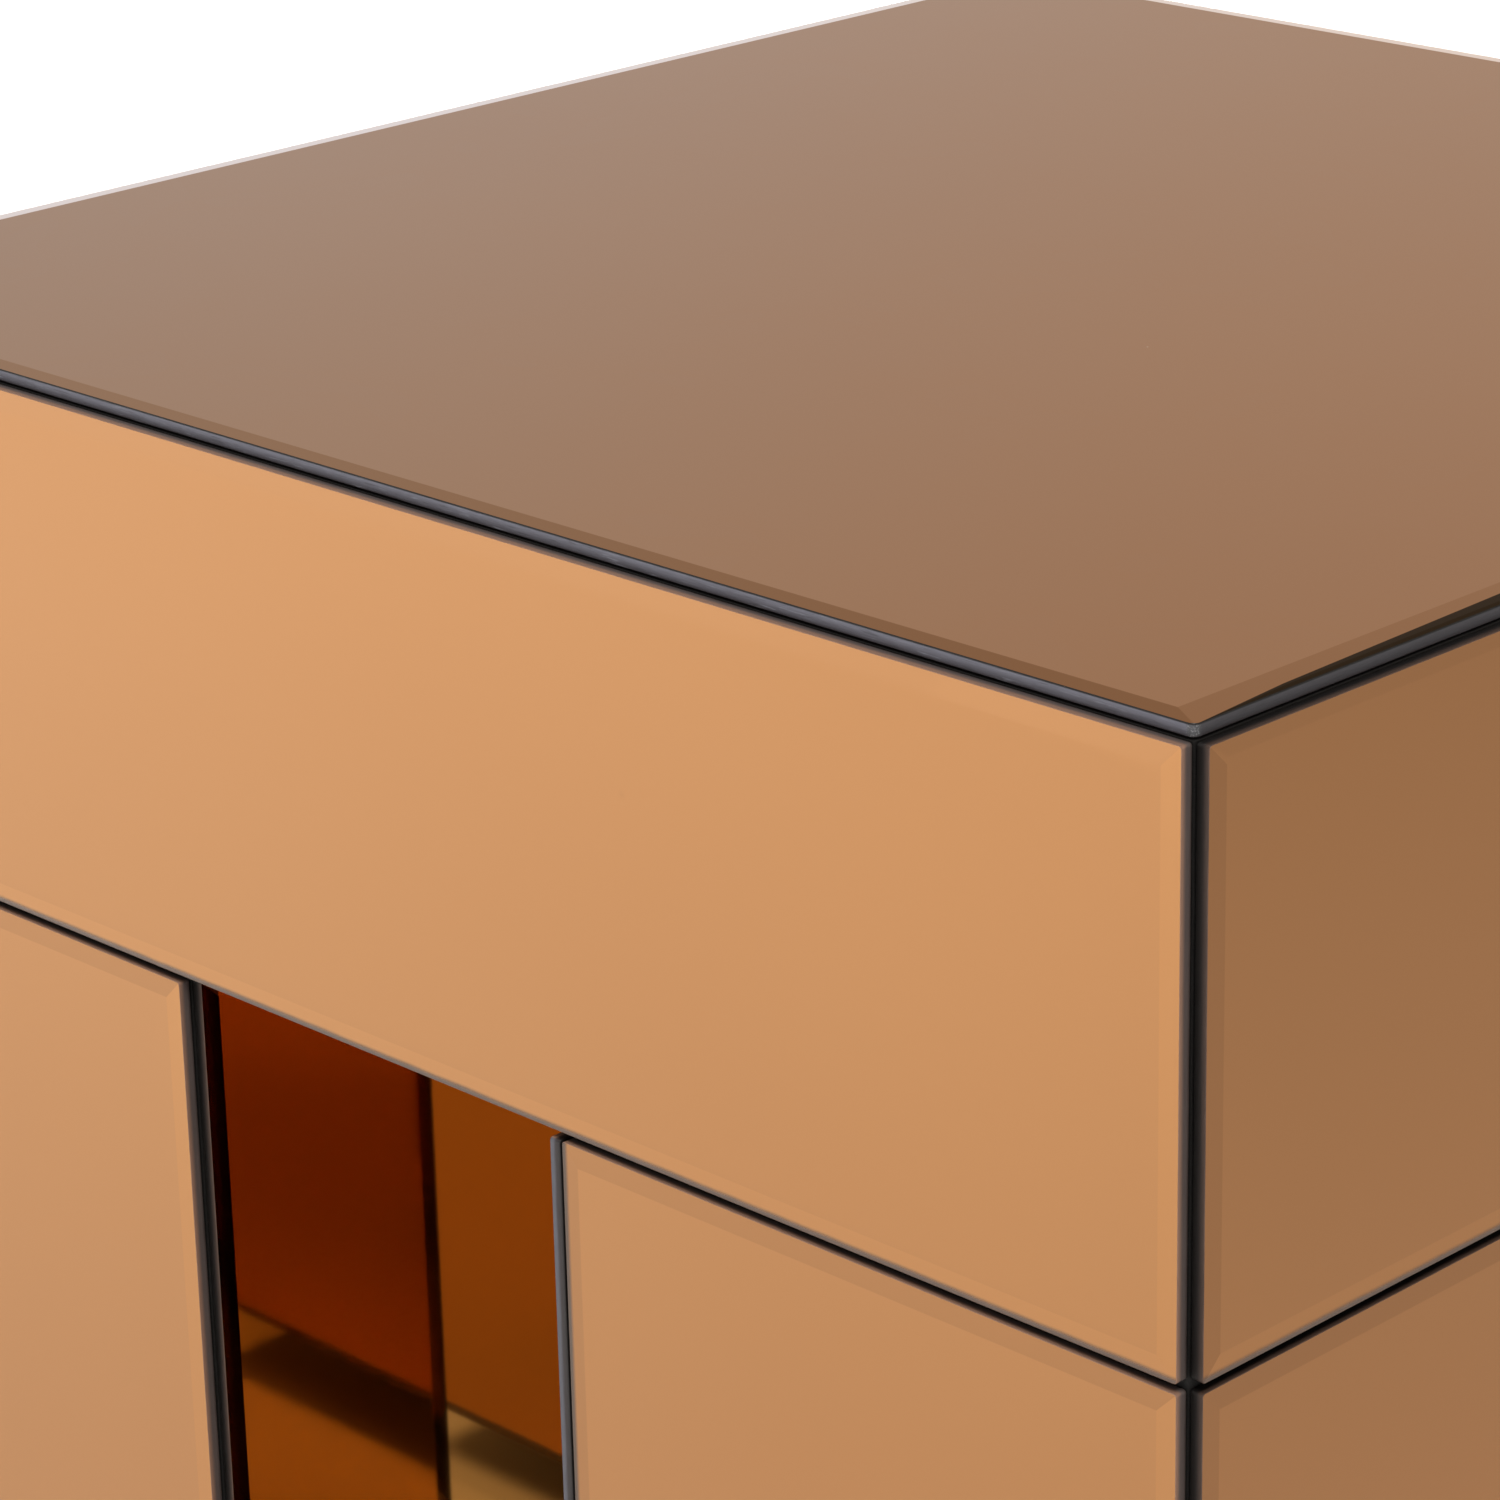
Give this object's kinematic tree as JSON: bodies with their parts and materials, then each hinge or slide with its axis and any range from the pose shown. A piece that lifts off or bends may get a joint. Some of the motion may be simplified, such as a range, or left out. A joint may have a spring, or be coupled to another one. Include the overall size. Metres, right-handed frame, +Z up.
{
  "type": "mirror-clad cube side table",
  "caption": "Cube side table: a square top block on square block legs with a cross-shaped passage between them, faced all over with bevelled bronze mirror.",
  "frame": {"origin": "on the floor, under the centre of the table", "axes": "+Z up through the top; -Y towards the front face and +X towards the right face; all four sides are alike"},
  "size_m": [0.45, 0.45, 0.45],
  "materials": {
    "bronze_mirror": "bronze-tinted float glass, silvered at the back, ground and bevelled edges",
    "black_sealed_board": "medium-density fibreboard, black sealer",
    "mirror_adhesive": "black foam mounting tape",
    "beech": "fluted dowel, unfinished",
    "zinc_steel": "zinc-plated",
    "black_plastic": "moulded polypropylene, fine texture"
  },
  "bodies": {
    "root": {"carcass_dowels": "beech", "deck_board": "black_sealed_board", "fascia_mirror_back": "bronze_mirror", "fascia_mirror_front": "bronze_mirror", "fascia_mirror_left": "bronze_mirror", "fascia_mirror_right": "bronze_mirror", "feet": "black_plastic", "foot_screws": "zinc_steel", "leg_back_left_base_plate": "black_sealed_board", "leg_back_left_board_back": "black_sealed_board", "leg_back_left_board_front": "black_sealed_board", "leg_back_left_board_left": "black_sealed_board", "leg_back_left_board_right": "black_sealed_board", "leg_back_left_head_plate": "black_sealed_board", "leg_back_left_mirror_back": "bronze_mirror", "leg_back_left_mirror_front": "bronze_mirror", "leg_back_left_mirror_left": "bronze_mirror", "leg_back_left_mirror_right": "bronze_mirror", "leg_back_right_base_plate": "black_sealed_board", "leg_back_right_board_back": "black_sealed_board", "leg_back_right_board_front": "black_sealed_board", "leg_back_right_board_left": "black_sealed_board", "leg_back_right_board_right": "black_sealed_board", "leg_back_right_head_plate": "black_sealed_board", "leg_back_right_mirror_back": "bronze_mirror", "leg_back_right_mirror_front": "bronze_mirror", "leg_back_right_mirror_left": "bronze_mirror", "leg_back_right_mirror_right": "bronze_mirror", "leg_front_left_base_plate": "black_sealed_board", "leg_front_left_board_back": "black_sealed_board", "leg_front_left_board_front": "black_sealed_board", "leg_front_left_board_left": "black_sealed_board", "leg_front_left_board_right": "black_sealed_board", "leg_front_left_head_plate": "black_sealed_board", "leg_front_left_mirror_back": "bronze_mirror", "leg_front_left_mirror_front": "bronze_mirror", "leg_front_left_mirror_left": "bronze_mirror", "leg_front_left_mirror_right": "bronze_mirror", "leg_front_right_base_plate": "black_sealed_board", "leg_front_right_board_back": "black_sealed_board", "leg_front_right_board_front": "black_sealed_board", "leg_front_right_board_left": "black_sealed_board", "leg_front_right_board_right": "black_sealed_board", "leg_front_right_head_plate": "black_sealed_board", "leg_front_right_mirror_back": "bronze_mirror", "leg_front_right_mirror_front": "bronze_mirror", "leg_front_right_mirror_left": "bronze_mirror", "leg_front_right_mirror_right": "bronze_mirror", "leg_screws": "zinc_steel", "mirror_adhesive": "mirror_adhesive", "rail_back": "black_sealed_board", "rail_front": "black_sealed_board", "rail_left": "black_sealed_board", "rail_right": "black_sealed_board", "rib_along_x": "black_sealed_board", "rib_along_y": "black_sealed_board", "soffit_board": "black_sealed_board", "top_mirror": "bronze_mirror"}
  },
  "joints": []
}
